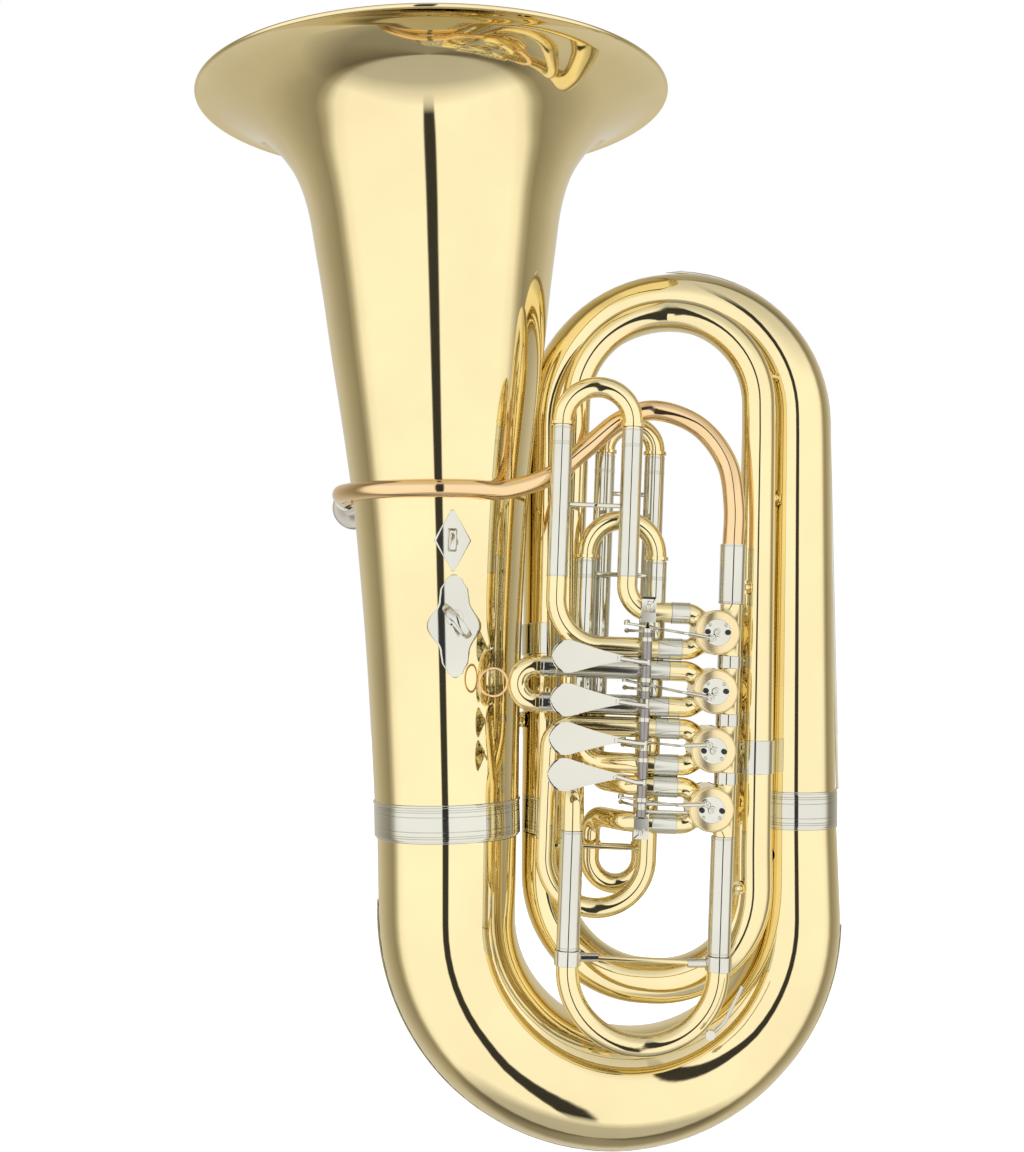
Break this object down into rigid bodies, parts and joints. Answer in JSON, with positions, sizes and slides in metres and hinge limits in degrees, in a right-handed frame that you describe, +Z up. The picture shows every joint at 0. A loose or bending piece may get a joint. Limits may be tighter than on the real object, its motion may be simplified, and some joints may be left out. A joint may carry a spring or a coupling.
{
  "type": "rotary tuba",
  "caption": "Large brass bass instrument with an upright bell, stacked tube bows, rotary valves worked by finger levers, and pull-out tuning slides.",
  "frame": {"origin": "lowest point of the large bottom bow, where a stand's cradle takes it", "axes": "+Z up along the bell, +Y towards the player, +X from the bell to the valves"},
  "size_m": [0.6451, 0.4744, 1.0545],
  "materials": {
    "lacquered_brass": "mirror-polished clear-lacquered yellow brass",
    "rose_brass": "polished lacquered rose brass",
    "nickel": "polished lacquered nickel silver",
    "silver": "polished silver plate",
    "dark_steel": "satin grey spring and hub metal",
    "rubber": "black stop buffers"
  },
  "bodies": {
    "root": {"bell": "lacquered_brass", "bell_garland": "nickel", "bottom_bow": "lacquered_brass", "bottom_bow_guard": "nickel", "outer_garland": "nickel", "outer_branch": "lacquered_brass", "second_bottom_bow": "lacquered_brass", "inner_branch": "lacquered_brass", "leadpipe": "rose_brass", "mouthpiece_receiver": "nickel", "leadpipe_receiver": "nickel", "valve_casing_1": "lacquered_brass", "valve_casing_2": "lacquered_brass", "valve_casing_3": "lacquered_brass", "valve_casing_4": "lacquered_brass", "valve_cap_1": "lacquered_brass", "valve_cap_2": "lacquered_brass", "valve_cap_3": "lacquered_brass", "valve_cap_4": "lacquered_brass", "first_outer_tubes": "nickel", "first_loop_left": "lacquered_brass", "first_loop_right": "lacquered_brass", "second_outer_tubes": "nickel", "third_outer_tubes": "nickel", "third_loop_left": "lacquered_brass", "third_loop_right": "lacquered_brass", "fourth_outer_tubes": "nickel", "fourth_loop_upper": "lacquered_brass", "fourth_loop_lower": "lacquered_brass", "tuning_outer_left": "nickel", "tuning_outer_right": "nickel", "lever_rack": "nickel", "holder_plate": "nickel", "thumb_plate": "nickel", "thumb_ring": "nickel", "bell_brace": "lacquered_brass", "branch_brace_upper": "lacquered_brass", "branch_brace_lower": "lacquered_brass", "valve_brace_upper": "lacquered_brass", "valve_brace_lower": "lacquered_brass"},
    "mouthpiece": {"mouthpiece": "silver"},
    "main_tuning_slide": {"main_tuning_slide": "lacquered_brass"},
    "water_key": {"water_key": "nickel"},
    "first_slide": {"first_slide": "lacquered_brass"},
    "second_slide": {"second_slide": "lacquered_brass"},
    "pull_ring": {"pull_ring": "rose_brass"},
    "third_slide": {"third_slide": "lacquered_brass"},
    "fourth_slide": {"fourth_slide": "lacquered_brass"},
    "lever_1": {"lever_1": "nickel"},
    "rotor_1": {"rotor_1": "nickel"},
    "rod_1": {"rod_1": "nickel"},
    "lever_2": {"lever_2": "nickel"},
    "rotor_2": {"rotor_2": "nickel"},
    "rod_2": {"rod_2": "nickel"},
    "lever_3": {"lever_3": "nickel"},
    "rotor_3": {"rotor_3": "nickel"},
    "rod_3": {"rod_3": "nickel"},
    "lever_4": {"lever_4": "nickel"},
    "rotor_4": {"rotor_4": "nickel"},
    "rod_4": {"rod_4": "nickel"}
  },
  "joints": [
    {"name": "mouthpiece_fit", "type": "slide", "parent": "root", "child": "mouthpiece", "axis": [0, 1, 0], "range_m": [0, 0.026]},
    {"name": "main_tuning", "type": "slide", "parent": "root", "child": "main_tuning_slide", "axis": [-0.0384, 0, -0.9993], "range_m": [0, 0.085]},
    {"name": "water_key_rock", "type": "hinge", "parent": "main_tuning_slide", "child": "water_key", "pos_m": [0.08939, -0.1027, 0.15204], "axis": [-0.8541, 0, 0.5201], "range_deg": [0, 16], "stiffness_Nm_per_rad": 0.05, "springref_deg": -11.46},
    {"name": "first_tuning", "type": "slide", "parent": "root", "child": "first_slide", "axis": [0.0384, 0, 0.9993], "range_m": [0, 0.11]},
    {"name": "second_tuning", "type": "slide", "parent": "root", "child": "second_slide", "axis": [-0.9993, 0, 0.0384], "range_m": [0, 0.04]},
    {"name": "pull_ring_swing", "type": "hinge", "parent": "second_slide", "child": "pull_ring", "pos_m": [-0.1108, -0.0925, 0.46355], "axis": [0.0384, 0, 0.9993], "range_deg": [-15, 15]},
    {"name": "third_tuning", "type": "slide", "parent": "root", "child": "third_slide", "axis": [0.0384, 0, 0.9993], "range_m": [0, 0.045]},
    {"name": "fourth_tuning", "type": "slide", "parent": "root", "child": "fourth_slide", "axis": [0.0384, 0, 0.9993], "range_m": [0, 0.06]},
    {"name": "lever_1_press", "type": "hinge", "parent": "root", "child": "lever_1", "pos_m": [0.01889, -0.106, 0.51301], "axis": [-0.0384, 0, -0.9993], "range_deg": [0, 15], "stiffness_Nm_per_rad": 1.2, "springref_deg": -5.73},
    {"name": "rotor_1_turn", "type": "hinge", "parent": "root", "child": "rotor_1", "pos_m": [0.08315, -0.118, 0.51054], "axis": [0, -1, 0], "range_deg": [0, 90]},
    {"name": "rod_1_swing", "type": "hinge", "parent": "rotor_1", "child": "rod_1", "pos_m": [0.07728, -0.1194, 0.5051], "axis": [0, -1, 0], "range_deg": [-90, 0]},
    {"name": "lever_2_press", "type": "hinge", "parent": "root", "child": "lever_2", "pos_m": [0.01681, -0.106, 0.45865], "axis": [-0.0384, 0, -0.9993], "range_deg": [0, 15], "stiffness_Nm_per_rad": 1.2, "springref_deg": -5.73},
    {"name": "rotor_2_turn", "type": "hinge", "parent": "root", "child": "rotor_2", "pos_m": [0.08106, -0.118, 0.45618], "axis": [0, -1, 0], "range_deg": [0, 90]},
    {"name": "rod_2_swing", "type": "hinge", "parent": "rotor_2", "child": "rod_2", "pos_m": [0.07519, -0.1194, 0.45074], "axis": [0, -1, 0], "range_deg": [-90, 0]},
    {"name": "lever_3_press", "type": "hinge", "parent": "root", "child": "lever_3", "pos_m": [0.01472, -0.106, 0.40429], "axis": [-0.0384, 0, -0.9993], "range_deg": [0, 15], "stiffness_Nm_per_rad": 1.2, "springref_deg": -5.73},
    {"name": "rotor_3_turn", "type": "hinge", "parent": "root", "child": "rotor_3", "pos_m": [0.07897, -0.118, 0.40182], "axis": [0, 1, 0], "range_deg": [0, 90]},
    {"name": "rod_3_swing", "type": "hinge", "parent": "rotor_3", "child": "rod_3", "pos_m": [0.07354, -0.1194, 0.40769], "axis": [0, 1, 0], "range_deg": [-90, 0]},
    {"name": "lever_4_press", "type": "hinge", "parent": "root", "child": "lever_4", "pos_m": [0.01263, -0.106, 0.34993], "axis": [-0.0384, 0, -0.9993], "range_deg": [0, 15], "stiffness_Nm_per_rad": 1.2, "springref_deg": -5.73},
    {"name": "rotor_4_turn", "type": "hinge", "parent": "root", "child": "rotor_4", "pos_m": [0.07688, -0.118, 0.34746], "axis": [0, 1, 0], "range_deg": [0, 90]},
    {"name": "rod_4_swing", "type": "hinge", "parent": "rotor_4", "child": "rod_4", "pos_m": [0.07145, -0.1194, 0.35333], "axis": [0, 1, 0], "range_deg": [-90, 0]}
  ],
  "couplings": [
    {"joint": "rotor_1_turn", "follows": "lever_1_press", "ratio": 6},
    {"joint": "rod_1_swing", "follows": "lever_1_press", "ratio": -6},
    {"joint": "rotor_2_turn", "follows": "lever_2_press", "ratio": 6},
    {"joint": "rod_2_swing", "follows": "lever_2_press", "ratio": -6},
    {"joint": "rotor_3_turn", "follows": "lever_3_press", "ratio": 6},
    {"joint": "rod_3_swing", "follows": "lever_3_press", "ratio": -6},
    {"joint": "rotor_4_turn", "follows": "lever_4_press", "ratio": 6},
    {"joint": "rod_4_swing", "follows": "lever_4_press", "ratio": -6}
  ]
}
